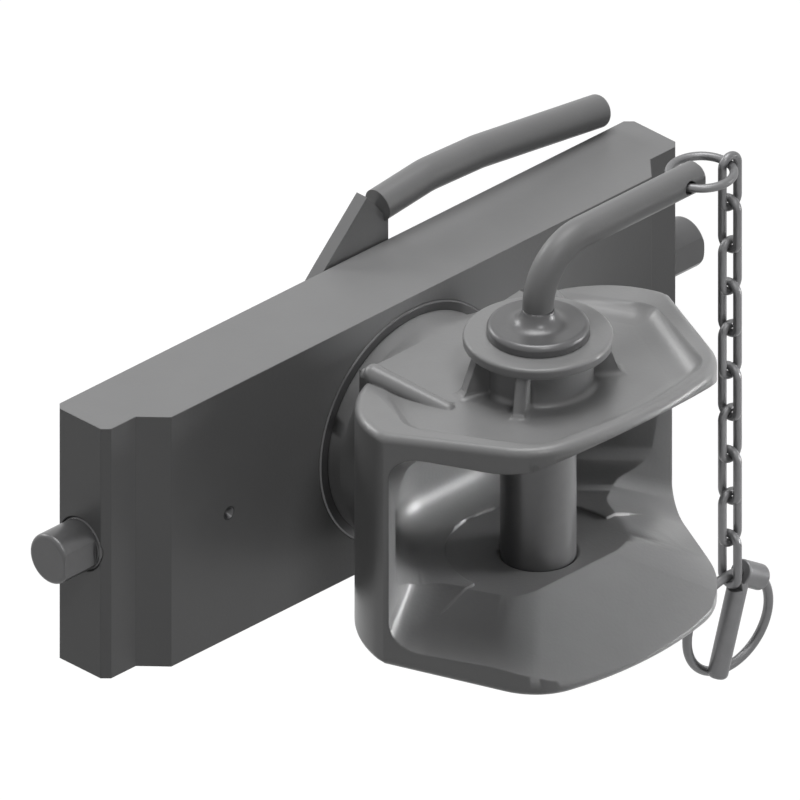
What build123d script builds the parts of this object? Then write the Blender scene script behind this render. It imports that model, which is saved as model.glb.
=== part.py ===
from build123d import *
import math
import os

# Tractor clevis coupling: a carrier plate that drops into the ladder rails of a hitch and is held
# there by two sprung lock bolts, and a cast clevis jaw that swivels in the plate about Y.
# Millimetres. The origin is where the axis of the lock bolts crosses the jaw's swivel axis.
# +Z is up, the mouth of the jaw opens towards -Y, and the release lever is behind the plate.

# General clearances
running_gap = 0.06
face_gap = 0.2
loose_gap = 0.3

# Carrier plate
plate_width = 329.5
plate_height = 116.7
plate_thickness = 40.0
bolt_axis_depth = 25.0
guide_flat = 17.25
guide_step = 10.5
guide_ramp = 9.75
end_chamfer = 3.0
hub_radius = 35.0
hub_length = 11.5

# Lock bolts and their springs
bolt_radius = 12.0
bolt_tip_radius = 11.0
bolt_reach = 18.75
bolt_guide_length = 54.75
bolt_tip_flat = 9.5
bolt_tip_round = 2.0
bolt_travel = 20.0
tail_radius = 6.0
stud_radius = 4.0
stud_place = 64.0
tail_beyond_stud = 8.0
stud_inset = 2.0
spring_seat = 72.0
spring_wire = 2.8
spring_turns = 5.5
lube_place = 104.6
lube_radius = 3.0

# Swivel: shank, bush, thrust disc and nut
shank_radius = 25.0
bush_wall = 5.0
disc_thickness = 3.0
disc_overhang = 4.0
disc_stand = 0.8
flange_radius = 49.0
flange_thickness = 7.0
thread_radius = 18.0
thread_stand = 2.0
washer_radius = 38.0
washer_thickness = 5.0
nut_flats = 55.0
nut_height = 20.0
nut_slot_depth = 7.0
nut_slot_width = 6.6
split_radius = 3.0
split_eye = 4.4
split_prong = 9.0
split_spread = 50.0
split_stand = 2.0
split_turn = 120.0

# Clevis jaw
pin_reach = 72.7
jaw_half_width = 82.2
jaw_widest_start = 62.0
jaw_widest_end = 66.2
shoulder_x = 68.4
shoulder_y = 35.7
neck_half_width = 46.9
neck_depth = 24.0
side_taper = 25.6
nose_reach = 134.5
nose_radius = 172.0
nose_corner = 32.0
rim_half_height = 54.0
rim_slope = 0.07
rim_round = 3.6
pad_half_height = 49.0
pad_back = 17.0
pad_back_half = 35.3
pad_wide_half = 59.0
pad_wide_at = 68.0
pad_inset = 20.0
dish_back_half = 49.0
dish_wide_half = 67.5
dish_wide_at = 60.0
rim_wall = 7.8
mouth_half_height = 31.0
cavity_back = 21.3
cavity_corner_x = 36.2
cavity_corner_round = 45.0
cavity_round = 15.0
mouth_edge_x = 79.7
mouth_edge_y = 71.4
floor_step = 1.2
spot_face_radius = 38.0
throat_front = 94.6
throat_inset = 33.0
throat_round = 15.0
funnel_start = 74.0
lip_height = 43.0
lip_slope = 0.058
ridge_width = 9.0
ridge_root = (48.6, 26.4)
ridge_tip = (41.2, 60.4)

# Pin boss on the jaw, with its gussets
boss_radius = 22.5
boss_fillet = 3.0
cap_radius = 30.7
cap_top = 71.4
cap_thickness = 5.0
cap_round = 1.5
gusset_angles = (22.0, 90.0, 158.0, 211.0, 329.0)
gusset_foot = 34.0
gusset_top = 27.5
gusset_width = 5.0
hole_chamfer = 1.2

# Coupling pin, its washer and its handle
pin_radius = 15.5
pin_end = 78.0
linch_hole = 66.0
linch_hole_radius = 5.5
pin_point = 3.0
washer_seat_radius = 19.0
head_washer_thickness = 1.6
collar_radius = 21.0
collar_height = 5.0
collar_round = 2.3
cove_radius = 6.9
handle_radius = 6.5
handle_bend = 24.5
handle_height = 108.4
handle_reach = 91.0
handle_end_chamfer = 1.5
handle_socket = 12.0

# Handle ring and chain
ring_wire = 1.8
ring_radius = 13.2
ring_centre = 93.5
ring_hole_radius = 3.0
chain_side = -3.7
chain_wire = 1.8
chain_pitch = 19.63
chain_half_width = 4.35
chain_gap = 0.25
chain_count = 10

# Linch pin on the chain's end
linch_radius = 4.3
linch_length = 45.0
linch_tip_round = 2.6
linch_shank_tilt = 22.5
linch_shank_place = -6.35
linch_barrel_radius = 5.5
linch_barrel_half = 6.75
linch_barrel_tilt = 32.0
linch_barrel_round = 1.0
linch_ring_wire = 2.0
linch_ring_radius = 22.4
linch_ring_depth = 3.0
linch_ring_stand = 0.6
linch_side = 0.33
linch_clear = 0.9

# Release lever
lever_thickness = 6.0
lever_gap = 1.3
lever_angle = 55.0
lever_wall = 7.5
lever_hub_wall = 9.0
rod_radius = 7.0
rod_path = ((24.9, 73.2), (52.3, 76.2), (81.9, 75.0), (153.0, 65.6))
rod_bend = 40.0
rod_end_round = 2.5
arm_corners = ((-30.0, 36.0), (-8.4, 58.0), (15.9, 81.7), (28.0, 67.0), (28.0, 36.0))
circlip_width = 2.5
circlip_height = 4.0

# Values worked out from the sizes above
plate_front = -bolt_axis_depth
plate_back = plate_front + plate_thickness
plate_end = plate_width / 2
pin_y = plate_front - pin_reach
hub_end = plate_back + hub_length
bush_radius = shank_radius + bush_wall
disc_front = plate_front - disc_stand
flange_back = disc_front - face_gap
flange_front = flange_back - flange_thickness
tail_end = stud_place - tail_beyond_stud
bolt_shoulder = plate_end - bolt_guide_length
lever_front = plate_back + lever_gap
lever_back = lever_front + lever_thickness
collar_bottom = cap_top + 0.1


def tube(outer, inner, start, length, axis):
    """A sleeve along one axis, from start and length long."""
    plane = {"x": Plane.YZ, "y": Plane.XZ.offset(-start - length), "z": Plane.XY}[axis]
    if axis != "y":
        plane = plane.offset(start)
    ring = Circle(outer) - Circle(inner) if inner else Circle(outer)
    return extrude(plane * ring, length)


def rod(radius, start, length, axis):
    """A round bar along one axis, from start and length long."""
    return tube(radius, 0, start, length, axis)


def carrier_plate():
    """The plate with its stepped guide edges, bolt bores, swivel bore and rear hub."""
    flat_start = plate_end - guide_flat
    ramp_start = flat_start - guide_ramp
    corners = [
        (-ramp_start, plate_front),
        (-flat_start, plate_front + guide_step),
        (-plate_end, plate_front + guide_step),
        (-plate_end, plate_back),
        (plate_end, plate_back),
        (plate_end, plate_front + guide_step),
        (flat_start, plate_front + guide_step),
        (ramp_start, plate_front),
    ]
    profile = make_face(Polyline(*corners, close=True))
    plate = extrude(profile, plate_height / 2, both=True)
    end_edges = [e for e in plate.edges().filter_by(Axis.Z) if abs(e.center().X) > plate_end - 0.1]
    plate = chamfer(end_edges, end_chamfer)
    plate += rod(hub_radius, plate_back, hub_length, "y")
    plate -= rod(bush_radius + running_gap / 2, plate_front - 1, plate_thickness + hub_length + 2, "y")
    recess = flange_radius + disc_overhang + running_gap
    plate -= rod(recess, disc_front - 1, disc_thickness + 1, "y")
    groove = tube(hub_radius + 1, hub_radius - 1.5, lever_back + 0.4, circlip_width + 0.2, "y")
    plate -= groove
    bore = bolt_radius + running_gap
    for side in (-1, 1):
        flip = Plane.YZ if side > 0 else Plane.YZ.rotated((0, 0, 180))
        chamber = extrude(flip.offset(spring_seat) * Circle(bore), plate_end)
        guide_bottom = tail_end - bolt_travel - 1.0
        guide = extrude(flip.offset(guide_bottom) * Circle(tail_radius + running_gap), plate_end)
        slot_middle = side * (stud_place - bolt_travel / 2)
        slot_length = bolt_travel + 2 * (stud_radius + loose_gap)
        window = SlotOverall(slot_length, 2 * (stud_radius + loose_gap))
        slot = extrude(Plane.XZ * Pos(slot_middle, 0) * window, -plate_back - 1)
        lube = rod(lube_radius + running_gap, plate_front - 1, bolt_axis_depth, "y")
        plate -= chamber
        plate -= guide
        plate -= slot
        plate -= Pos(side * lube_place, 0, 0) * lube
    return plate


def swivel_bush():
    """Bronze sleeve pressed into the plate, standing out in front to centre the thrust disc."""
    inner = shank_radius + running_gap
    length = hub_end - disc_front
    return tube(bush_radius, inner, disc_front, length, "y")


def thrust_disc():
    """Wear disc between the plate and the jaw's flange."""
    outer = flange_radius + disc_overhang
    disc = tube(outer, bush_radius + running_gap, disc_front, disc_thickness, "y")
    rim = disc.edges().filter_by(GeomType.CIRCLE).group_by(SortBy.RADIUS)[-1]
    return chamfer(rim.sort_by(Axis.Y)[:1], 0.6)


def side_line(inset, far):
    """A point on the jaw's tapering side, inset from its face, far forward of its widest corner."""
    angle = math.radians(side_taper)
    start = (jaw_half_width, plate_front - jaw_widest_end)
    x = start[0] - inset * math.cos(angle) - far * math.sin(angle)
    y = start[1] + inset * math.sin(angle) - far * math.cos(angle)
    return x, y


def nose_face(back_points, inset, corner, front=None):
    """A jaw outline: given points at the back, sides parallel to the jaw's sides, and the nose."""
    far_point = side_line(inset, 110.0)
    right = list(back_points) + [far_point]
    left = [(-x, y) for x, y in reversed(right)]
    face = make_face(Polyline(*(right + left), close=True))
    if front is None:
        centre_y = plate_front - nose_reach + nose_radius
        face = face & (Pos(0, centre_y) * Circle(nose_radius - inset))
    else:
        face = face & (Pos(0, front + 200) * Rectangle(400, 400))
    limit = plate_front - jaw_widest_end - 20
    tips = [v for v in face.vertices() if v.Y < limit]
    return fillet(tips, corner)


def outer_outline():
    """Plan of the jaw: shoulders, widest corners, tapering sides and rounded nose."""
    y0 = plate_front - neck_depth
    far_x, far_y = side_line(0.0, 110.0)
    edges = []
    for s in (1, -1):
        edges.append(
            ThreePointArc(
                (s * neck_half_width, y0),
                (s * shoulder_x, plate_front - shoulder_y),
                (s * jaw_half_width, plate_front - jaw_widest_start),
            )
        )
        edges.append(
            Polyline(
                (s * jaw_half_width, plate_front - jaw_widest_start),
                (s * jaw_half_width, plate_front - jaw_widest_end),
                (s * far_x, far_y),
            )
        )
    edges.append(Line((-far_x, far_y), (far_x, far_y)))
    edges.append(
        Polyline(
            (neck_half_width, y0),
            (neck_half_width, plate_front - pad_back),
            (-neck_half_width, plate_front - pad_back),
            (-neck_half_width, y0),
        )
    )
    face = make_face(edges)
    centre_y = plate_front - nose_reach + nose_radius
    face = face & (Pos(0, centre_y) * Circle(nose_radius))
    limit = plate_front - jaw_widest_end - 20
    tips = [v for v in face.vertices() if v.Y < limit]
    return fillet(tips, nose_corner)


def rim_height(y, base, slope):
    """Height of a surface that climbs towards the nose from its height at the widest corner."""
    return base + slope * (plate_front - jaw_widest_end - y)


def jaw_blank():
    """The jaw's outer block: its plan cut to the flared rim heights, with rounded rims."""
    block = extrude(outer_outline(), 80.0, both=True)
    back = plate_front
    front = plate_front - nose_reach - 10
    high_back = rim_height(back, rim_half_height, rim_slope)
    high_front = rim_height(front, rim_half_height, rim_slope)
    wedge = make_face(
        Polyline((back, high_back), (front, high_front), (front, -high_front), (back, -high_back), close=True)
    )
    block = block & extrude(Plane.YZ * wedge, 2 * jaw_half_width, both=True)
    back_y = plate_front - pad_back - 0.1
    rims = []
    for face in block.faces():
        if abs(face.normal_at(face.center()).Z) > 0.9:
            rims += [e for e in face.edges() if e.center().Y < back_y]
    return fillet(rims, rim_round)


def dish_cut():
    """Shallow recess above the upper pad, bounded by the sloping inner side of the rim."""
    y_back = plate_front + 5
    floor_points = [
        (pad_back_half, y_back),
        (pad_back_half, plate_front - pad_back),
        (pad_wide_half, plate_front - pad_wide_at),
    ]
    rim_points = [
        (dish_back_half, y_back),
        (dish_back_half, plate_front - pad_back),
        (dish_wide_half, plate_front - dish_wide_at),
    ]
    floor = nose_face(floor_points, pad_inset, 14.0)
    rim = nose_face(rim_points, rim_wall, 26.0)
    base = rim_height(0.0, rim_half_height, rim_slope)
    tilt = math.degrees(math.atan(rim_slope))
    low = Pos(0, 0, pad_half_height) * floor
    high = Pos(0, 0, base) * Rot(-tilt, 0, 0) * rim
    recess = loft([low, high], ruled=True)
    above = extrude(high, 25.0, dir=(0, 0, 1))
    return recess + above


def cavity_cut():
    """The throat between the pads, bounded by the back wall and the side walls."""
    y_back = plate_front - cavity_back
    far = plate_front - 2 * nose_reach
    corner = (cavity_corner_x, y_back)
    edge = (mouth_edge_x, plate_front - mouth_edge_y)
    beyond = (edge[0] + 0.5 * (edge[0] - corner[0]), edge[1] + 0.5 * (edge[1] - corner[1]))
    right = [corner, beyond, (beyond[0], far)]
    left = [(-x, y) for x, y in reversed(right)]
    plan = make_face(Polyline(*(right + left), close=True))
    plan = fillet([v for v in plan.vertices() if v.Y > y_back - 1], cavity_corner_round)
    throat = extrude(plan, mouth_half_height - floor_step, both=True)
    walls = []
    for face in throat.faces():
        if abs(face.normal_at(face.center()).Z) > 0.9:
            walls += [e for e in face.edges() if e.center().Y > beyond[1] + 1]
    throat = fillet(walls, cavity_round)
    spot = Pos(0, pin_y, 0) * Cylinder(spot_face_radius, 2 * mouth_half_height)
    front = Pos(0, (pin_y + far) / 2, 0) * Box(2 * spot_face_radius, pin_y - far, 2 * mouth_half_height)
    return throat + spot + front


def funnel_cut():
    """The flared entry above the throat: all that lies outside the sloping sides of the pad."""
    start = plate_front - funnel_start
    behind = start + 60
    pad_side = side_line(throat_inset, -60.0)
    inner = nose_face([pad_side], throat_inset, throat_round, front=plate_front - throat_front)
    lip_side = side_line(-6.0, -60.0)
    outer = nose_face([lip_side], -6.0, 38.0)
    base = rim_height(0.0, lip_height + 1.5, lip_slope)
    tilt = math.degrees(math.atan(lip_slope))
    low = Pos(0, 0, mouth_half_height) * inner
    lip_plane = Pos(0, 0, base) * Rot(-tilt, 0, 0)
    mesa = loft([low, lip_plane * outer], ruled=True)
    slab = extrude(lip_plane * outer, 60.0, dir=(0, 0, -1))
    slab = slab & (Pos(0, start - 100, 50 + mouth_half_height - floor_step) * Box(400, 200, 100))
    return slab - mesa


def neck():
    """Round-to-square neck from the swivel flange to the back of the jaw."""
    start = plate_front - pad_back
    half_h = rim_height(start, rim_half_height, rim_slope)
    corners = [(pad_back_half, pad_half_height), (neck_half_width, half_h)]
    corners += [(x, -y) for x, y in reversed(corners)]
    corners += [(-x, y) for x, y in reversed(corners)]
    turns = [math.atan2(y, x) for x, y in corners]
    arcs = []
    for i, a in enumerate(turns):
        b = turns[(i + 1) % len(turns)]
        if b > a:
            b -= 2 * math.pi
        points = [(flange_radius * math.cos(t), flange_radius * math.sin(t)) for t in (a, (a + b) / 2, b)]
        arcs.append(ThreePointArc(*points))
    ring = make_face(arcs)
    pad = make_face(Polyline(*corners, close=True))
    at_ring = Plane((0, flange_front, 0), x_dir=(1, 0, 0), z_dir=(0, -1, 0))
    at_pad = Plane((0, start, 0), x_dir=(1, 0, 0), z_dir=(0, -1, 0))
    return loft([at_ring * ring, at_pad * pad], ruled=True)


def gusset(angle, foot, top, width, low, high, inner):
    """One upright web from a boss out to its foot, leaning in towards the cap."""
    face = make_face(Polyline((inner, low), (foot, low), (top, high), (inner, high), close=True))
    web = extrude(Plane.XZ * face, width / 2, both=True)
    return Pos(0, pin_y, 0) * Rot(0, 0, angle) * web


def boss():
    """Raised pin boss, its gussets and the round cap they carry."""
    low = pad_half_height
    cap_low = cap_top - cap_thickness
    body = rod(boss_radius, low - 1, cap_low - low + 1.5, "z")
    cap = rod(cap_radius, cap_low, cap_thickness, "z")
    cap = fillet(cap.edges().filter_by(GeomType.CIRCLE), cap_round)
    foot_profile = make_face(
        [
            Line((boss_radius - 1, low - 1), (boss_radius + boss_fillet, low - 1)),
            Line((boss_radius + boss_fillet, low - 1), (boss_radius + boss_fillet, low)),
            RadiusArc((boss_radius + boss_fillet, low), (boss_radius, low + boss_fillet), boss_fillet),
            Line((boss_radius, low + boss_fillet), (boss_radius - 1, low + boss_fillet)),
            Line((boss_radius - 1, low + boss_fillet), (boss_radius - 1, low - 1)),
        ]
    )
    foot = revolve(Plane.XZ * foot_profile, Axis.Z)
    whole = Pos(0, pin_y, 0) * (body + cap + foot)
    for angle in gusset_angles:
        whole += gusset(angle, gusset_foot, gusset_top, gusset_width, low - 1, cap_low + 1, boss_radius - 3)
    return whole


def ridge(side, up):
    """Tapering web that runs from the neck's corner out on to the pad."""
    root = (side * ridge_root[0], plate_front - ridge_root[1])
    tip = (side * ridge_tip[0], plate_front - ridge_tip[1])
    length = math.dist(root, tip)
    low = pad_half_height - 1
    high = rim_height(root[1], rim_half_height, rim_slope) + 3
    web = make_face(Polyline((0, low), (0, high), (length, low + 2), (length, low), close=True))
    angle = math.degrees(math.atan2(tip[1] - root[1], tip[0] - root[0]))
    solid = extrude(Plane.XZ * web, ridge_width / 2, both=True)
    top = [e for e in solid.edges() if e.center().Z > low + 2 and abs(e.center().Y) > 1]
    solid = fillet(top, ridge_width / 2 - 0.6)
    solid = Pos(root[0], root[1], 0) * Rot(0, 0, angle) * solid
    return solid if up > 0 else mirror(solid, Plane.XY)


def clevis_jaw():
    """The cast jaw with its swivel shank, threaded at the end, as one piece."""
    jaw = jaw_blank() + neck()
    dish = dish_cut()
    funnel = funnel_cut()
    jaw -= dish
    jaw -= mirror(dish, Plane.XY)
    jaw -= cavity_cut()
    jaw -= funnel
    jaw -= mirror(funnel, Plane.XY)
    for side in (-1, 1):
        for up in (-1, 1):
            jaw += ridge(side, up)
    jaw += boss()
    jaw += rod(flange_radius, flange_front, flange_thickness, "y")
    jaw += rod(shank_radius, flange_back - 1, hub_end + 0.1 - flange_back + 1, "y")
    thread_end = hub_end + washer_thickness + nut_height + thread_stand
    jaw += rod(thread_radius, hub_end, thread_end - hub_end, "y")
    hole = pin_radius + running_gap
    seat = cap_top - head_washer_thickness - 0.1
    jaw -= Pos(0, pin_y, 0) * rod(hole, -100, 200, "z")
    jaw -= Pos(0, pin_y, 0) * rod(washer_seat_radius + running_gap, seat, 20, "z")
    for z, up in ((-mouth_half_height, -1), (mouth_half_height, 1)):
        cone = Cone(hole + hole_chamfer, hole, hole_chamfer)
        flare = Pos(0, pin_y, z + up * hole_chamfer / 2) * (cone if up > 0 else Rot(180, 0, 0) * cone)
        jaw -= flare
    split_y = hub_end + washer_thickness + nut_height - nut_slot_depth / 2 - 0.2
    jaw -= Rot(0, split_turn, 0) * Pos(0, split_y, 0) * rod(split_radius + 0.2, -40, 80, "z")
    return jaw


def shank_washer():
    """Hardened washer that the nut clamps against the shoulder of the shank."""
    washer = tube(washer_radius, thread_radius + 0.1, hub_end + 0.1, washer_thickness, "y")
    rim = washer.edges().filter_by(GeomType.CIRCLE).group_by(SortBy.RADIUS)[-1]
    return chamfer(rim, 0.8)


def castle_nut():
    """Slotted hexagon nut on the end of the shank."""
    low = hub_end + washer_thickness + 0.1
    plane = Plane.XZ.offset(-low - nut_height)
    hexagon = RegularPolygon(nut_flats / 2, 6, major_radius=False)
    nut = extrude(plane * hexagon, nut_height)
    bevel = Pos(0, low + nut_height / 2, 0) * Rot(90, 0, 0) * Cylinder(nut_flats / 2 + 2.2, nut_height)
    rims = bevel.edges().filter_by(GeomType.CIRCLE)
    nut = nut & chamfer(rims, 2.4)
    nut -= rod(thread_radius + 0.05, low - 1, nut_height + 2, "y")
    for angle in (0, 60, 120):
        slot = Pos(0, low + nut_height - nut_slot_depth / 2 + 1, 0) * Box(
            nut_slot_width, nut_slot_depth + 2, nut_flats * 2
        )
        nut -= Rot(0, angle, 0) * slot
    return nut


def split_pin():
    """Split pin through the nut's slots and the shank, with its legs bent apart."""
    y = hub_end + washer_thickness + nut_height - nut_slot_depth / 2 - 0.2
    half = nut_flats / 2
    pin = Pos(0, y, 0) * rod(split_radius, -half - split_stand, 2 * half + split_stand + 1, "z")
    eye = Rot(90, 0, 0) * Torus(split_eye, split_radius * 0.5)
    pin += Pos(0, y, half + split_eye + split_radius * 0.2) * eye
    for side in (-1, 1):
        prong = rod(split_radius * 0.5, 0, split_prong, "z")
        pin += Pos(side * split_radius * 0.4, y, -half - split_stand) * Rot(0, 180 - side * split_spread, 0) * prong
    return Rot(0, split_turn, 0) * pin


def grease_nipple(side):
    """Flush funnel nipple in the lubrication hole over the lock bolt."""
    depth = 8.0
    cup = 2.4
    body = rod(lube_radius, plate_front, depth, "y")
    mouth = Pos(0, plate_front + cup / 2, 0) * Rot(-90, 0, 0) * Cone(lube_radius - 0.4, 0.9, cup)
    way = rod(0.75, plate_front, depth + 1, "y")
    return Pos(side * lube_place, 0, 0) * (body - mouth - way)


def lock_bolt(side):
    """Sprung bolt: rounded tip with a lead flat, guided body and thin tail with a cross hole."""
    body = rod(bolt_radius, bolt_shoulder, bolt_guide_length, "x")
    tip = rod(bolt_tip_radius, plate_end - 0.1, bolt_reach + 0.1, "x")
    tip = fillet(tip.faces().sort_by(Axis.X)[-1].edges(), bolt_tip_round)
    flat_depth = 30
    flat = Pos(plate_end + 1 + flat_depth / 2, -bolt_tip_flat - flat_depth / 2, 0) * Box(
        flat_depth, flat_depth, flat_depth
    )
    tip -= flat
    body = chamfer(body.edges().filter_by(GeomType.CIRCLE), 0.9)
    tail = rod(tail_radius, tail_end, bolt_shoulder - tail_end + 1, "x")
    tail = chamfer(tail.faces().sort_by(Axis.X)[0].edges(), 0.8)
    bolt = body + tip + tail
    bolt -= Pos(stud_place, 0, 0) * rod(stud_radius, -tail_radius - 1, 2 * tail_radius + 2, "y")
    return bolt if side > 0 else mirror(bolt, Plane.YZ)


def bolt_spring(side):
    """Compression spring round the bolt's tail, between the plate's seat and the bolt's body."""
    start = spring_seat + spring_wire / 2 + 0.2
    end = bolt_shoulder - spring_wire / 2 - 0.2
    mean = (bolt_radius + tail_radius) / 2
    path = Helix((end - start) / spring_turns, end - start, mean)
    section = Plane(path @ 0, z_dir=path % 0) * Circle(spring_wire / 2)
    coil = sweep(section, path=path, is_frenet=True)
    coil = Pos(start, 0, 0) * Rot(0, 90, 0) * coil
    return coil if side > 0 else mirror(coil, Plane.YZ)


def drive_stud(side):
    """Pin pressed through the bolt's tail, reaching back into the lever's slot."""
    start = -tail_radius + stud_inset
    stud = rod(stud_radius, start, lever_back + 0.2 - start, "y")
    stud = chamfer(stud.edges().filter_by(GeomType.CIRCLE), 0.6)
    return Pos(side * stud_place, 0, 0) * stud


def spiral_points(start_angle, offset, overrun, count):
    """Points along the slot's spiral, which pulls in evenly as the lever turns."""
    points = []
    rate = bolt_travel / math.radians(lever_angle)
    for i in range(count + 1):
        turn = -overrun + (lever_angle + 2 * overrun) * i / count
        radius = stud_place - bolt_travel * turn / lever_angle
        angle = math.radians(start_angle - turn)
        normal = angle - math.atan(rate / radius)
        x = radius * math.cos(angle) + offset * math.cos(normal)
        y = radius * math.sin(angle) + offset * math.sin(normal)
        points.append((x, y))
    return points


def spiral_band(start_angle, half_width, overrun):
    """A band of even width along the slot's spiral, with round ends."""
    outer = spiral_points(start_angle, half_width, overrun, 12)
    inner = spiral_points(start_angle, -half_width, overrun, 12)
    band = make_face(
        [
            Spline(*outer),
            Line(outer[-1], inner[-1]),
            Spline(*reversed(inner)),
            Line(inner[0], outer[0]),
        ]
    )
    middle = spiral_points(start_angle, 0.0, overrun, 12)
    for x, y in (middle[0], middle[-1]):
        band += Pos(x, y) * Circle(half_width)
    return band


def lever_plate():
    """Flat lever with a hub ring, two spiral slots and an arm up to the rod."""
    bore = hub_radius + 0.1
    sheet = Circle(hub_radius + lever_hub_wall)
    for start in (0.0, 180.0):
        sheet += spiral_band(start, stud_radius + loose_gap + lever_wall, 1.0)
    arm = make_face(Polyline(*arm_corners, close=True))
    sheet += arm
    sheet -= Circle(bore)
    for start in (0.0, 180.0):
        sheet -= spiral_band(start, stud_radius + 0.15, 1.0)
    plane = Plane((0, lever_back, 0), x_dir=(1, 0, 0), z_dir=(0, -1, 0))
    return extrude(plane * sheet, lever_thickness)


def lever_handle():
    """Bent round bar welded to the lever's arm, with a rounded end."""
    y = (lever_front + lever_back) / 2
    points = [Vector(x, y, z) for x, z in rod_path]
    path = FilletPolyline(*points, radius=rod_bend)
    heading = (points[1] - points[0]).normalized()
    section = Plane(points[0], z_dir=heading) * Circle(rod_radius)
    bar = sweep(section, path=path)
    end = bar.faces().sort_by(Axis.X)[-1]
    return fillet(end.edges(), rod_end_round) - lever_plate()


def lever_circlip():
    """Retaining ring in the hub's groove, open at the bottom, with eyes for pliers."""
    start = lever_back + 0.5
    ring = tube(hub_radius + circlip_height, hub_radius - 1.4, start, circlip_width, "y")
    gap = Pos(0, start, -hub_radius) * Box(14, 10, 22)
    ring -= gap
    for side in (-1, 1):
        eye = tube(4.2, 1.3, start, circlip_width, "y")
        ring += Pos(side * 10.5, 0, -hub_radius - 2.6) * eye
    ring -= rod(hub_radius - 1.4, start - 1, circlip_width + 2, "y")
    return ring


def head_washer():
    """Wear washer in the recess of the boss cap, turned by the collar of the pin."""
    low = cap_top - head_washer_thickness
    return Pos(0, pin_y, 0) * tube(washer_seat_radius, pin_radius + running_gap, low, head_washer_thickness, "z")


def coupling_pin():
    """Turned pin with its collar and the cove that runs up to the handle."""
    top = collar_bottom + collar_height
    cove_top = top + cove_radius
    outline = [
        Polyline(
            (0, -pin_end),
            (pin_radius - pin_point, -pin_end),
            (pin_radius, -pin_end + pin_point),
            (pin_radius, collar_bottom),
            (collar_radius, collar_bottom),
            (collar_radius, top - collar_round),
        ),
        RadiusArc((collar_radius, top - collar_round), (collar_radius - collar_round, top), -collar_round),
        Line((collar_radius - collar_round, top), (handle_radius + cove_radius, top)),
        RadiusArc((handle_radius + cove_radius, top), (handle_radius, cove_top), cove_radius),
        Polyline((handle_radius, cove_top), (0, cove_top), (0, -pin_end)),
    ]
    body = Pos(0, pin_y, 0) * revolve(Plane.XZ * make_face(outline), Axis.Z)
    body -= Pos(0, pin_y, 0) * rod(handle_radius, cove_top - handle_socket, 50, "z")
    body -= Pos(0, pin_y - 50, -linch_hole) * rod(linch_hole_radius, 0, 100, "y")
    return body


def pin_handle():
    """Handle bent from round bar, drilled across at its end for the ring."""
    low = collar_bottom + collar_height + cove_radius - handle_socket
    knee = handle_height - handle_bend
    path = Wire(
        [
            Edge.make_line((0, pin_y, low), (0, pin_y, knee)),
            Edge.make_three_point_arc(
                (0, pin_y, knee),
                (handle_bend * (1 - math.sqrt(0.5)), pin_y, knee + handle_bend * math.sqrt(0.5)),
                (handle_bend, pin_y, handle_height),
            ),
            Edge.make_line((handle_bend, pin_y, handle_height), (handle_reach, pin_y, handle_height)),
        ]
    )
    section = Plane((0, pin_y, low), z_dir=(0, 0, 1)) * Circle(handle_radius)
    bar = sweep(section, path=path)
    bar = chamfer(bar.faces().sort_by(Axis.X)[-1].edges(), handle_end_chamfer)
    hole_x = ring_hole_x()
    bar -= Pos(hole_x, pin_y - 20, handle_height) * rod(ring_hole_radius, 0, 40, "y")
    return bar


def ring_hole_x():
    """Where the handle is drilled so that the ring's arc passes through it."""
    back = ring_centre - ring_radius
    exit_x = ring_centre - math.sqrt(ring_radius**2 - handle_radius**2)
    return (back + exit_x) / 2


def handle_ring():
    """Closed ring through the end of the handle."""
    return Pos(ring_centre, pin_y, handle_height) * Torus(ring_radius, ring_wire)


def chain_place():
    """Where on the handle ring the chain hangs."""
    x = ring_centre + math.sqrt(ring_radius**2 - chain_side**2)
    return x, pin_y + chain_side


def link_top(number):
    """Height of the centre of a link's upper bow, counted from 1 at the ring."""
    first = handle_height + ring_wire + chain_wire + chain_gap
    return first - chain_pitch * (number - 1)


def chain_link(number):
    """One welded chain link. Odd links lie in the plane XZ and even links in the plane YZ."""
    length = chain_pitch + 2 * chain_wire + chain_gap
    straight = length / 2 - chain_half_width
    r = chain_half_width
    half = Wire(
        [
            Edge.make_line((r, 0, -straight), (r, 0, straight)),
            Edge.make_three_point_arc((r, 0, straight), (0, 0, straight + r), (-r, 0, straight)),
            Edge.make_line((-r, 0, straight), (-r, 0, -straight)),
            Edge.make_three_point_arc((-r, 0, -straight), (0, 0, -straight - r), (r, 0, -straight)),
        ]
    )
    section = Plane((r, 0, -straight), z_dir=(0, 0, 1)) * Circle(chain_wire)
    link = sweep(section, path=half)
    if number % 2 == 0:
        link = Rot(0, 0, 90) * link
    x, y = chain_place()
    return Pos(x, y, link_top(number) - length / 2) * link


def linch_rise():
    """From the centre of the linch ring up to the axis of the head's barrel."""
    half = linch_barrel_half + linch_ring_stand
    return math.sqrt(linch_ring_radius**2 - half**2)


def link_foot():
    """Height of the underside of the last chain link."""
    return link_top(chain_count) - chain_pitch - 2 * chain_wire - chain_gap - chain_wire


def linch_frame():
    """Plane of the linch pin: origin inside its barrel, x along the barrel, z away from the ring."""
    x, y = chain_place()
    held = link_foot() + 2 * chain_wire + linch_ring_wire + chain_gap
    centre = Vector(x + linch_side, y, held - math.sqrt(linch_ring_radius**2 - linch_side**2))
    tilt = math.radians(linch_barrel_tilt)
    up = Vector(math.sin(tilt), 0, math.cos(tilt))
    along = Vector(math.cos(tilt), 0, -math.sin(tilt))
    return Plane(centre + up * linch_rise(), x_dir=along, z_dir=up)


def linch_swing():
    """Angle by which the pin and its ring lean apart, so that the ring lies behind the tip."""
    reach = linch_rise() + linch_ring_radius
    return math.degrees(math.asin((linch_radius + linch_ring_wire + loose_gap) / (2 * reach)))


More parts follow.
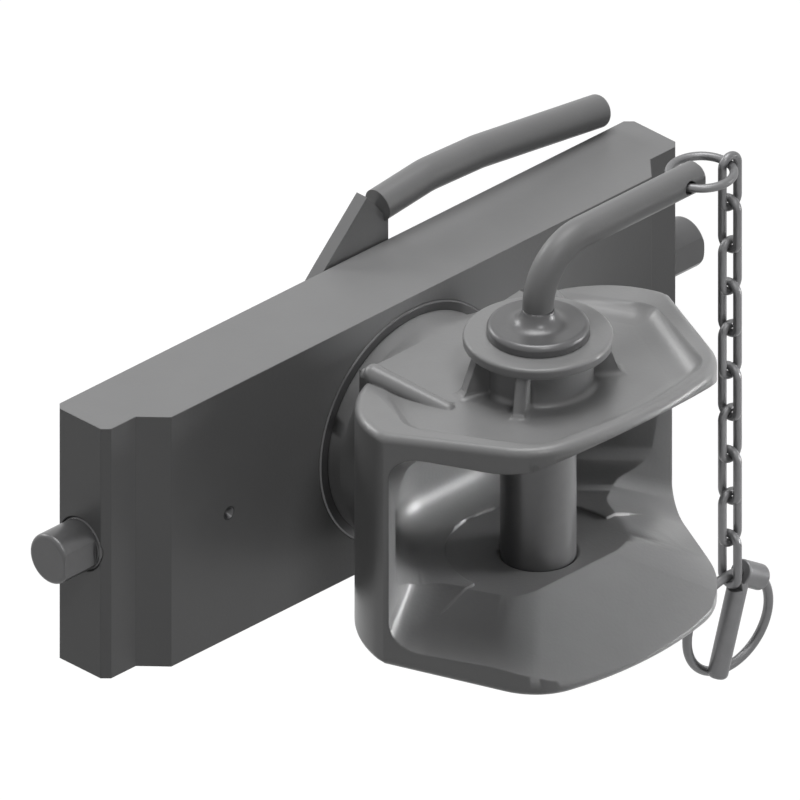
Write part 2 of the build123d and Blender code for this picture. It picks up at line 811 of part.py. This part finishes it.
def linch_pin():
    """Linch pin: round shank with a rounded tip, under a barrel that takes the ring's ends."""
    shank = rod(linch_radius, -linch_length, linch_length, "z")
    shank = fillet(shank.faces().sort_by(Axis.Z)[0].edges(), linch_tip_round)
    lean = linch_shank_tilt - linch_barrel_tilt
    shank = Pos(linch_shank_place, 0, 0) * Rot(0, lean, 0) * shank
    size = linch_ring_radius
    relief = Box(size, size, size, align=(Align.MAX, Align.CENTER, Align.MIN))
    shank -= Pos(-linch_barrel_half, 0, -2 * linch_ring_wire) * relief
    barrel = rod(linch_barrel_radius, -linch_barrel_half, 2 * linch_barrel_half, "x")
    barrel = fillet(barrel.edges().filter_by(GeomType.CIRCLE), linch_barrel_round)
    pin = shank + barrel
    pin -= rod(linch_ring_wire + 0.1, -2 * linch_barrel_half, 4 * linch_barrel_half, "x")
    pin = linch_frame() * Rot(-linch_swing(), 0, 0) * pin
    x, y = chain_place()
    return pin - Pos(x + chain_wire + linch_clear, y, link_foot() - linch_clear) * relief


def linch_ring():
    """Sprung wire ring whose ends pivot in the barrel and which snaps behind the shank's tip."""
    end = linch_barrel_half + linch_ring_stand
    bottom = -linch_rise() - linch_ring_radius
    inner = linch_barrel_half - linch_ring_depth
    path = Wire(
        [
            Edge.make_line((-inner, 0, 0), (-end, 0, 0)),
            Edge.make_three_point_arc((-end, 0, 0), (0, 0, bottom), (end, 0, 0)),
            Edge.make_line((end, 0, 0), (inner, 0, 0)),
        ]
    )
    section = Plane((-inner, 0, 0), z_dir=(-1, 0, 0)) * Circle(linch_ring_wire)
    ring = sweep(section, path=path, transition=Transition.ROUND)
    return linch_frame() * Rot(linch_swing(), 0, 0) * ring


pieces = {
    "carrier_plate": carrier_plate(),
    "swivel_bush": swivel_bush(),
    "thrust_disc": thrust_disc(),
    "clevis_jaw": clevis_jaw(),
    "shank_washer": shank_washer(),
    "castle_nut": castle_nut(),
    "split_pin": split_pin(),
    "head_washer": head_washer(),
    "coupling_pin": coupling_pin(),
    "pin_handle": pin_handle(),
    "handle_ring": handle_ring(),
    "linch_ring": linch_ring(),
    "linch_pin": linch_pin(),
    "lever_plate": lever_plate(),
    "lever_handle": lever_handle(),
    "lever_circlip": lever_circlip(),
}
for number in range(1, chain_count + 1):
    pieces[f"chain_link_{number:02d}"] = chain_link(number)
for side, name in ((-1, "left"), (1, "right")):
    pieces[f"lock_bolt_{name}"] = lock_bolt(side)
    pieces[f"bolt_spring_{name}"] = bolt_spring(side)
    pieces[f"drive_stud_{name}"] = drive_stud(side)
    pieces[f"grease_nipple_{name}"] = grease_nipple(side)

os.makedirs("parts", exist_ok=True)
for name, solid in pieces.items():
    export_step(solid, f"parts/{name}.step")
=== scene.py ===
import math

import bpy
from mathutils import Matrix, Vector


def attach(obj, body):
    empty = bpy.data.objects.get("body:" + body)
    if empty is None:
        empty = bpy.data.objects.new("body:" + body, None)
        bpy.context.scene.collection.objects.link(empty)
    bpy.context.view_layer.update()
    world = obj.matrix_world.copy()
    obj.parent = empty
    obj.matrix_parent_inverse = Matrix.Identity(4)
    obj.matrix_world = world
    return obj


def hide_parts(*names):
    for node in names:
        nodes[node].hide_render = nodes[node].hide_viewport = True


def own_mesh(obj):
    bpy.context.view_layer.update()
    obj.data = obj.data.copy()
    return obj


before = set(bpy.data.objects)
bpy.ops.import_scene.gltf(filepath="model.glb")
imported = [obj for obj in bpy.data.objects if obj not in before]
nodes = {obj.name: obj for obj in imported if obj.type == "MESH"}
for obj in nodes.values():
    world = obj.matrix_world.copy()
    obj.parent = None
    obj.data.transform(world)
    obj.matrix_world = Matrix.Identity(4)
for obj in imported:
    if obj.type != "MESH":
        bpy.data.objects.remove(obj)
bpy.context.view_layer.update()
bpy.ops.object.select_all(action="DESELECT")

# The camera looks down at 30 degrees from the front left corner, without perspective, as the
# drawing of the coupling does. Its view is centred a little to the right of the swivel axis.
view_centre = Vector((0.00926, -0.00915, 0.0))
view_from = Vector((-0.61237, -0.61237, 0.5))
view_distance = 1.5
view_width = 0.32433
camera_data = bpy.data.cameras.new("camera")
camera_data.type = "ORTHO"
camera_data.ortho_scale = view_width
camera_data.clip_end = 20.0
camera = bpy.data.objects.new("camera", camera_data)
bpy.context.scene.collection.objects.link(camera)
camera.location = view_centre + view_distance * view_from
camera.rotation_euler = (-view_from).to_track_quat("-Z", "Y").to_euler()
bpy.context.scene.camera = camera

# A pale studio floor well below the coupling, which hangs on its rails. The camera and
# reflections see it white, and it still takes the soft shadow of the object.
floor_level = -0.34
floor_size = 12.0
floor_white = 0.92


def seen_directly(tree):
    """A socket that is 1 for what the camera, a reflection or clear material sees, and else 0."""
    path = tree.nodes.new("ShaderNodeLightPath")
    seen = tree.nodes.new("ShaderNodeMath")
    seen.operation = "MAXIMUM"
    seen_all = tree.nodes.new("ShaderNodeMath")
    seen_all.operation = "MAXIMUM"
    tree.links.new(path.outputs["Is Camera Ray"], seen.inputs[0])
    tree.links.new(path.outputs["Is Glossy Ray"], seen.inputs[1])
    tree.links.new(seen.outputs[0], seen_all.inputs[0])
    tree.links.new(path.outputs["Is Transmission Ray"], seen_all.inputs[1])
    return seen_all.outputs[0]


bpy.ops.mesh.primitive_plane_add(size=floor_size, location=(0, 0, floor_level))
floor = bpy.context.object
floor.name = "studio_floor"
floor_finish = bpy.data.materials.new("studio_floor")
floor_finish.use_nodes = True
tree = floor_finish.node_tree
paper = tree.nodes["Principled BSDF"]
paper.inputs["Base Color"].default_value = (0.18, 0.18, 0.18, 1)
paper.inputs["Roughness"].default_value = 0.9
paper.inputs["Specular IOR Level"].default_value = 0.0
white = tree.nodes.new("ShaderNodeEmission")
lift = tree.nodes.new("ShaderNodeMath")
lift.operation = "MULTIPLY"
lift.inputs[1].default_value = floor_white
both = tree.nodes.new("ShaderNodeAddShader")
tree.links.new(seen_directly(tree), lift.inputs[0])
tree.links.new(lift.outputs[0], white.inputs["Strength"])
tree.links.new(paper.outputs[0], both.inputs[0])
tree.links.new(white.outputs[0], both.inputs[1])
tree.links.new(both.outputs[0], tree.nodes["Material Output"].inputs["Surface"])
floor.data.materials.append(floor_finish)
floor.select_set(False)

# The studio: a wide soft box overhead, one behind the object, one beside the camera that gives
# the edges their glint, and a small low lamp on the right that lights the inside of the mouth.
for name, place, target, size, power, spread in (
    ("soft_box", (0.10, 0.10, 1.6), (0, 0, 0), 0.9, 15.0, 180),
    ("back_light", (-0.20, 1.70, 0.95), (0, 0, 0), 0.6, 9.0, 180),
    ("glint", (-0.50, -1.15, 1.70), (0, 0, 0), 0.45, 6.5, 180),
    ("mouth_light", (0.30, -0.34, 0.03), (0.00, -0.10, -0.02), 0.16, 0.085, 32),
):
    lamp_data = bpy.data.lights.new(name, "AREA")
    lamp_data.shape = "SQUARE"
    lamp_data.size = size
    lamp_data.energy = power
    lamp_data.spread = math.radians(spread)
    lamp = bpy.data.objects.new(name, lamp_data)
    bpy.context.scene.collection.objects.link(lamp)
    lamp.location = place
    lamp.rotation_euler = (Vector(target) - Vector(place)).to_track_quat("-Z", "Y").to_euler()

# The room gives a dim even light, and is white where the camera or a reflection sees it.
room_light = 0.05
room = bpy.data.worlds.new("studio_room")
room.use_nodes = True
bpy.context.scene.world = room
tree = room.node_tree
dim = tree.nodes["Background"]
dim.inputs["Color"].default_value = (1, 1, 1, 1)
dim.inputs["Strength"].default_value = room_light
bright = tree.nodes.new("ShaderNodeBackground")
bright.inputs["Color"].default_value = (1, 1, 1, 1)
bright.inputs["Strength"].default_value = 1.0
choose = tree.nodes.new("ShaderNodeMixShader")
tree.links.new(seen_directly(tree), choose.inputs[0])
tree.links.new(dim.outputs[0], choose.inputs[1])
tree.links.new(bright.outputs[0], choose.inputs[2])
tree.links.new(choose.outputs[0], tree.nodes["World Output"].inputs["Surface"])
bpy.context.scene.view_settings.view_transform = "Standard"

# The carrier plate is a thick steel plate, milled all over and sprayed with satin grey paint.
# The paint pools a little into a fine orange peel; painted shade darkens it along sharp edges and in
# creases.


def finish(name, tones, grain, peel, roughness, metallic=0.0, edge=0.0004, level=0.4):
    """A surface finish: two tones mixed by grain, a fine relief, softened edges, and painted shade
    darkening edges and creases.

    grain is the scale of the cloud of tones, and peel the scale, strength and depth of the relief.
    """
    made = bpy.data.materials.new(name)
    made.use_nodes = True
    tree = made.node_tree
    make, link = tree.nodes.new, tree.links.new
    shader = tree.nodes["Principled BSDF"]
    shader.inputs["Metallic"].default_value = metallic
    shader.inputs["Specular IOR Level"].default_value = level
    place = make("ShaderNodeTexCoord").outputs["Object"]
    cloud = make("ShaderNodeTexNoise")
    cloud.inputs["Scale"].default_value = grain
    cloud.inputs["Detail"].default_value = 6.0
    cloud.inputs["Roughness"].default_value = 0.6
    link(place, cloud.inputs["Vector"])
    tone = make("ShaderNodeMix")
    tone.data_type = "RGBA"
    tone.inputs[6].default_value = (*tones[0], 1)
    tone.inputs[7].default_value = (*tones[1], 1)
    link(cloud.outputs["Fac"], tone.inputs[0])
    soft = make("ShaderNodeBevel")
    soft.samples = 4
    soft.inputs["Radius"].default_value = edge
    sharp = make("ShaderNodeNewGeometry")
    match = make("ShaderNodeVectorMath")
    match.operation = "DOT_PRODUCT"
    link(soft.outputs[0], match.inputs[0])
    link(sharp.outputs["Normal"], match.inputs[1])
    # Painted shade: the colour is multiplied darker where the bevel normal turns from the face, along
    # edges and in creases.
    edge_crease_shade = make("ShaderNodeMapRange")
    edge_crease_shade.inputs["From Min"].default_value = 0.80
    edge_crease_shade.inputs["From Max"].default_value = 0.99
    edge_crease_shade.inputs["To Min"].default_value = 0.75
    edge_crease_shade.inputs["To Max"].default_value = 1.0
    link(match.outputs["Value"], edge_crease_shade.inputs["Value"])
    shade = make("ShaderNodeMix")
    shade.data_type = "RGBA"
    shade.blend_type = "MULTIPLY"
    shade.inputs[0].default_value = 1.0
    link(tone.outputs[2], shade.inputs[6])
    link(edge_crease_shade.outputs[0], shade.inputs[7])
    link(shade.outputs[2], shader.inputs["Base Color"])
    gloss = make("ShaderNodeMapRange")
    gloss.inputs["To Min"].default_value = roughness[0]
    gloss.inputs["To Max"].default_value = roughness[1]
    link(cloud.outputs["Fac"], gloss.inputs["Value"])
    link(gloss.outputs[0], shader.inputs["Roughness"])
    fine = make("ShaderNodeTexNoise")
    fine.inputs["Scale"].default_value = peel[0]
    fine.inputs["Detail"].default_value = 3.0
    link(place, fine.inputs["Vector"])
    relief = make("ShaderNodeBump")
    relief.inputs["Strength"].default_value = peel[1]
    relief.inputs["Distance"].default_value = peel[2]
    link(fine.outputs["Fac"], relief.inputs["Height"])
    link(soft.outputs[0], relief.inputs["Normal"])
    link(relief.outputs[0], shader.inputs["Normal"])
    return made


def wear(material, *names):
    """Gives CAD nodes one finish."""
    for name in names:
        mesh = nodes[name].data
        mesh.materials.clear()
        mesh.materials.append(material)


plate_paint = finish(
    "plate_paint", tones=((0.250, 0.250, 0.252), (0.285, 0.285, 0.287)), grain=35.0,
    peel=(900.0, 0.25, 0.0002), roughness=(0.34, 0.44), level=0.3, edge=0.0007,
)
wear(plate_paint, "carrier_plate")

# The jaw is a steel casting, shot blasted and painted the same grey, with the swivel shank in one
# piece. Its two lips flare from a flat pad round the pin: a front facet, two side facets that
# sink into coves at the corners of the mouth, and wide rounded ridges where the facets meet.
pad_level = -0.031
pad_front = -0.1195
pad_corner = Vector((0.0469, -0.0959, pad_level))
front_up = Vector((0, -math.sin(math.radians(31.0)), math.cos(math.radians(31.0))))
side_up = Vector((0.3897, -0.1867, 0.9018))
mouth_wall = Vector((0.0810, -0.0930, 0.0))
mouth_forward = Vector((-0.4321, -0.9018, 0.0))
ridge_radius = 0.045
cove_radius = 0.0145
round_steps = 10
same = Vector((1, 1, 1))
across = Vector((-1, 1, 1))
half_side = 0.125
hair = 0.00002


def single_out(piece):
    """Makes a piece the active one and the only one selected."""
    bpy.ops.object.select_all(action="DESELECT")
    bpy.context.view_layer.objects.active = piece
    piece.select_set(True)


def start_block(name, low, high):
    """A block between two corners, left in edit mode and selected all over."""
    bpy.ops.object.select_all(action="DESELECT")
    middle = (Vector(low) + Vector(high)) / 2
    bpy.ops.mesh.primitive_cube_add(size=1.0, location=middle, scale=Vector(high) - Vector(low))
    block = bpy.context.object
    block.name = name
    bpy.ops.object.transform_apply(location=True, rotation=True, scale=True)
    bpy.ops.object.mode_set(mode="EDIT")
    return block


def saw(point, away):
    """Cuts the block in edit mode by a plane and closes it, dropping what lies on the far side."""
    bpy.ops.mesh.select_all(action="SELECT")
    bpy.ops.mesh.bisect(plane_co=point, plane_no=away, use_fill=True, clear_outer=True)


def on_plane(point, up):
    """A test for points that lie on a plane."""
    return lambda corner: abs((corner - point).dot(up)) < hair


def round_edges(block, wanted, offset, segments):
    """Rounds the edges of a block in edit mode whose two ends both pass a test."""
    bpy.ops.object.mode_set(mode="OBJECT")
    mesh = block.data
    for vertex in mesh.vertices:
        vertex.select = False
    for face in mesh.polygons:
        face.select = False
    for edge in mesh.edges:
        edge.select = all(wanted(mesh.vertices[i].co) for i in edge.vertices)
    bpy.ops.object.mode_set(mode="EDIT")
    bpy.ops.mesh.select_mode(type="EDGE")
    bpy.ops.mesh.bevel(offset=offset, offset_type="OFFSET", segments=segments)


def combine(piece, form, operation):
    """Cuts a form out of a piece, or joins it on as one closed skin, and leaves the form as it was."""
    single_out(piece)
    boolean = piece.modifiers.new("form", "BOOLEAN")
    boolean.operation = operation
    boolean.solver = "EXACT"
    boolean.object = form
    bpy.ops.object.modifier_apply(modifier=boolean.name)


def face_outward():
    """Turns the faces of the active piece outward."""
    bpy.ops.object.mode_set(mode="EDIT")
    bpy.ops.mesh.select_all(action="SELECT")
    bpy.ops.mesh.normals_make_consistent(inside=False)
    bpy.ops.object.mode_set(mode="OBJECT")


def mirror_form(form, signs):
    """Mirrors a form where a sign is -1, and leaves it the active piece."""
    single_out(form)
    form.scale = signs
    bpy.ops.object.transform_apply(location=False, rotation=False, scale=True)


def carve_mirrored(piece, form, signs):
    """Cuts the mirror image of a form out of a piece, and turns the form back."""
    mirror_form(form, signs)
    face_outward()
    combine(piece, form, "DIFFERENCE")
    mirror_form(form, signs)


def copy_of(name, node):
    """A piece with a copy of a CAD node's mesh, whose loose triangles are merged."""
    piece = bpy.data.objects.new(name, nodes[node].data.copy())
    bpy.context.scene.collection.objects.link(piece)
    single_out(piece)
    bpy.ops.object.mode_set(mode="EDIT")
    bpy.ops.mesh.select_all(action="SELECT")
    bpy.ops.mesh.remove_doubles(threshold=0.000001)
    bpy.ops.object.mode_set(mode="OBJECT")
    return piece


# What stays of the lower lip under the flare's facets is cut out of the flare's own block first.
pad_edge = Vector((0, pad_front, pad_level))
lip = start_block("lip_form", (-0.13, -0.23, -0.12), (0.13, -0.03, pad_level + 0.0012))
saw(pad_edge, front_up)
for sign in (same, across):
    saw(pad_corner * sign, side_up * sign)
on_front = on_plane(pad_edge, front_up)
for sign in (same, across):
    on_side = on_plane(pad_corner * sign, side_up * sign)
    half_turn = front_up.angle(side_up * sign) / 2
    setback = ridge_radius * math.tan(half_turn)
    round_edges(lip, lambda point: on_front(point) and on_side(point), setback, round_steps)
bpy.ops.object.mode_set(mode="OBJECT")

flare = start_block("flare", (-half_side, -0.215, -0.10), (half_side, -0.06, 0.002))
cove_end = mouth_wall + cove_radius * mouth_forward
for sign in (same, across):
    saw(cove_end * sign, -mouth_forward * sign)
bpy.ops.object.mode_set(mode="OBJECT")
combine(flare, lip, "DIFFERENCE")

side = start_block("side_opening", (0.0, -0.215, -0.10), (half_side, -0.04, 0.002))
side_floor = pad_corner + hair * side_up
saw(mouth_wall, -mouth_forward)
saw(side_floor, -side_up)
on_wall = on_plane(mouth_wall, mouth_forward)
on_floor = on_plane(side_floor, side_up)
round_edges(side, lambda point: on_wall(point) and on_floor(point), cove_radius, round_steps)
bpy.ops.object.mode_set(mode="OBJECT")

jaw = copy_of("jaw_casting", "clevis_jaw")
for height_sign in (1, -1):
    carve_mirrored(jaw, flare, (1, 1, height_sign))
for height_sign in (1, -1):
    for side_sign in (1, -1):
        carve_mirrored(jaw, side, (side_sign, 1, height_sign))

# The recess round the boss, and its twin under the lower lip, is bounded by a wide hollow cove
# that climbs to the rim. Its outline follows the rim, with three flats along the nose.
recess_level = 0.04902
recess_cove = 0.014
recess_corner = 0.008
corner_steps = 8
nose_centre = Vector((0, 0.0125, 0))
nose_reach = 0.1660
nose_turn = math.radians(8.7)
side_out = Vector((0.9018, -0.4321, 0))
back_out = Vector((0.9064, 0.4224, 0))
nose_out = Vector((math.sin(nose_turn), -math.cos(nose_turn), 0))
recess_side = Vector((0.0822, -0.0912, 0)) - 0.0064 * side_out
recess_back = Vector((0.060, -0.095, 0)) + recess_cove * back_out
pin_centre = Vector((0, -0.0977, 0))
boss_room = 0.0375
recess = start_block("recess_form", (-0.100, -0.170, recess_level), (0.100, -0.050, 0.0800))
for sign in (same, across):
    saw(recess_side * sign, side_out * sign)
    saw(recess_back * sign, back_out * sign)
for flat_out in (nose_out * across, Vector((0, -1, 0)), nose_out):
    saw(nose_centre + nose_reach * flat_out, flat_out)
for corner, out in ((recess_back, back_out), (nose_centre + nose_reach * nose_out, nose_out)):
    for sign in (same, across):
        on_side = on_plane(recess_side * sign, side_out * sign)
        on_next = on_plane(corner * sign, out * sign)
        round_edges(recess, lambda at: on_side(at) and on_next(at), recess_corner, corner_steps)
round_edges(recess, lambda point: point.z < recess_level + 0.0001, recess_cove, round_steps)
bpy.ops.object.mode_set(mode="OBJECT")
bpy.ops.object.select_all(action="DESELECT")
bpy.ops.mesh.primitive_cylinder_add(
    vertices=64, radius=boss_room, depth=0.08, location=pin_centre + Vector((0, 0, 0.06))
)
keep = bpy.context.object
bpy.ops.object.transform_apply(location=True, rotation=True, scale=True)
combine(recess, keep, "DIFFERENCE")
for height_sign in (1, -1):
    carve_mirrored(jaw, recess, (1, 1, height_sign))

# Each of the five gussets round the boss runs out into the pad in a small cast fillet. Its steps
# are pairs of a rise above the pad and how far the fillet reaches past the gusset there.
pad_top = 0.049
gusset_angles = (22.0, 90.0, 158.0, 211.0, 329.0)
gusset_half_width = 0.0025
gusset_reach = 0.0340
gusset_lean = 0.374
foot_inside = 0.019
foot_steps = ((0.0, 0.0026), (0.00035, 0.00135), (0.0008, 0.0007), (0.0015, 0.00025), (0.0026, 0.0))
for angle in gusset_angles:
    skirt = foot_steps[0][1]
    foot = start_block(
        "gusset_foot",
        (foot_inside, -gusset_half_width - skirt, pad_top - 0.001),
        (gusset_reach + skirt, gusset_half_width + skirt, pad_top),
    )
    for (rise_before, past_before), (rise, past) in zip(foot_steps, foot_steps[1:]):
        bpy.ops.object.mode_set(mode="OBJECT")
        top = max(face.center.z for face in foot.data.polygons)
        for vertex in foot.data.vertices:
            vertex.select = False
        for edge in foot.data.edges:
            edge.select = False
        for face in foot.data.polygons:
            face.select = face.center.z > top - hair
        bpy.ops.object.mode_set(mode="EDIT")
        bpy.ops.mesh.select_mode(type="FACE")
        bpy.ops.mesh.extrude_region_move(TRANSFORM_OT_translate={"value": (0, 0, rise - rise_before)})
        end_before = gusset_reach - gusset_lean * rise_before + past_before
        end = gusset_reach - gusset_lean * rise + past
        longer = (end - foot_inside) / (end_before - foot_inside)
        wider = (gusset_half_width + past) / (gusset_half_width + past_before)
        bpy.ops.transform.resize(value=(longer, wider, 1.0), center_override=(foot_inside, 0, 0))
    face_outward()
    foot.rotation_euler = (0, 0, math.radians(angle))
    foot.location = pin_centre
    bpy.ops.object.transform_apply(location=True, rotation=True, scale=True)
    combine(jaw, foot, "UNION")
    bpy.data.objects.remove(foot)

# Four round-backed ridges run from the corners of the neck out on to the pads, two above and two
# below, and taper to a rounded tip.
ridge_root = Vector((0.0493, -0.0480, 0.0536))
ridge_tip = Vector((0.0403, -0.0895, 0.0468))
root_radius = 0.0045
root_round = 0.0039
tip_radius = 0.0034
tip_round = 0.0028
past_rim = 0.0002
for signs in ((1, 1, 1), (-1, 1, 1), (1, 1, -1), (-1, 1, -1)):
    root = ridge_root * Vector(signs)
    tip = ridge_tip * Vector(signs)
    along = tip - root
    bpy.ops.object.select_all(action="DESELECT")
    bpy.ops.mesh.primitive_cone_add(
        vertices=40, radius1=root_radius, radius2=tip_radius, depth=along.length,
        location=(root + tip) / 2, rotation=along.to_track_quat("Z", "Y").to_euler(),
    )
    ridge = bpy.context.object
    bpy.ops.object.transform_apply(location=True, rotation=True, scale=True)
    round_edges(ridge, lambda at: (at - tip).length < tip_radius + past_rim, tip_round, 6)
    round_edges(ridge, lambda at: (at - root).length < root_radius + past_rim, root_round, 8)
    bpy.ops.object.mode_set(mode="OBJECT")
    combine(jaw, ridge, "UNION")
    bpy.data.objects.remove(ridge)

for form in (lip, flare, side, recess, keep):
    bpy.data.objects.remove(form)
single_out(jaw)
bpy.ops.object.mode_set(mode="EDIT")
bpy.ops.mesh.select_all(action="SELECT")
bpy.ops.mesh.remove_doubles(threshold=0.00003)
bpy.ops.mesh.dissolve_limited(angle_limit=math.radians(0.6))
bpy.ops.object.mode_set(mode="OBJECT")
bpy.ops.object.shade_smooth_by_angle(angle=math.radians(22.0))
even = jaw.modifiers.new("even", "WEIGHTED_NORMAL")
even.weight = 100
even.keep_sharp = True
bpy.ops.object.modifier_apply(modifier=even.name)
jaw.select_set(False)
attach(jaw, "jaw")
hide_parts("clevis_jaw")
cast_paint = finish(
    "cast_paint", tones=((0.250, 0.250, 0.252), (0.290, 0.290, 0.292)), grain=60.0,
    peel=(700.0, 0.30, 0.0002), roughness=(0.285, 0.35), level=0.5, edge=0.0013,
)
wear(cast_paint, "clevis_jaw")
jaw.data.materials.clear()
jaw.data.materials.append(cast_paint)

# The coupling pin, its washer and the parts of the swivel are turned and hardened, and left
# with the dark, slightly oily skin of phosphated steel. So are the lock bolts and their studs.
pin_steel = finish(
    "phosphated_steel", tones=((0.135, 0.135, 0.137), (0.170, 0.170, 0.172)), grain=120.0,
    peel=(2400.0, 0.2, 0.0001), roughness=(0.285, 0.37), metallic=0.35, edge=0.0004,
)
wear(pin_steel, "coupling_pin", "head_washer", "thrust_disc", "shank_washer", "castle_nut")
wear(pin_steel, "lock_bolt_left", "lock_bolt_right", "drive_stud_left", "drive_stud_right")

# The handle of the pin and the bar of the release lever are bent from drawn round steel, and
# the lever's flat blade is cut from plate. All three wear the same satin grey paint.
bar_paint = finish(
    "bar_paint", tones=((0.205, 0.205, 0.207), (0.240, 0.240, 0.242)), grain=50.0,
    peel=(1000.0, 0.2, 0.0002), roughness=(0.36, 0.46), edge=0.0005,
)
wear(bar_paint, "pin_handle", "lever_handle", "lever_plate")

# The ring, the chain, the linch pin and the split pin are bright zinc plated wire that has
# dulled in use.
zinc = finish(
    "dull_zinc", tones=((0.20, 0.20, 0.205), (0.27, 0.27, 0.275)), grain=220.0,
    peel=(2600.0, 0.2, 0.0001), roughness=(0.32, 0.45), metallic=0.5, edge=0.0002,
)
wear(zinc, "handle_ring", "linch_ring", "linch_pin", "split_pin")
wear(zinc, *[f"chain_link_{number:02d}" for number in range(1, 11)])

# The springs and the circlip are oil blackened spring steel. The nipples are the same colour.
spring_steel = finish(
    "spring_steel", tones=((0.08, 0.08, 0.082), (0.12, 0.12, 0.122)), grain=180.0,
    peel=(2400.0, 0.15, 0.0001), roughness=(0.32, 0.42), metallic=0.6, edge=0.0002,
)
wear(spring_steel, "bolt_spring_left", "bolt_spring_right", "lever_circlip")
wear(spring_steel, "grease_nipple_left", "grease_nipple_right")

# Each lock bolt is pushed out by a coil spring, which in the real coupling shortens as the lever draws
# the bolt in; here each spring is a fixed copy riding with the plate.
for hand, sign in (("left", -1), ("right", 1)):
    coil = copy_of(f"coil_spring_{hand}", f"bolt_spring_{hand}")
    bpy.ops.object.shade_smooth_by_angle(angle=math.radians(40.0))
    coil.select_set(False)
    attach(coil, "plate")
    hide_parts(f"bolt_spring_{hand}")
    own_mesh(coil)

# The bush in the swivel bore is cast bearing bronze, bored bright.
bronze = finish(
    "bearing_bronze", tones=((0.42, 0.27, 0.11), (0.52, 0.34, 0.15)), grain=150.0,
    peel=(1800.0, 0.2, 0.0001), roughness=(0.28, 0.40), metallic=1.0, edge=0.0003,
)
wear(bronze, "swivel_bush")
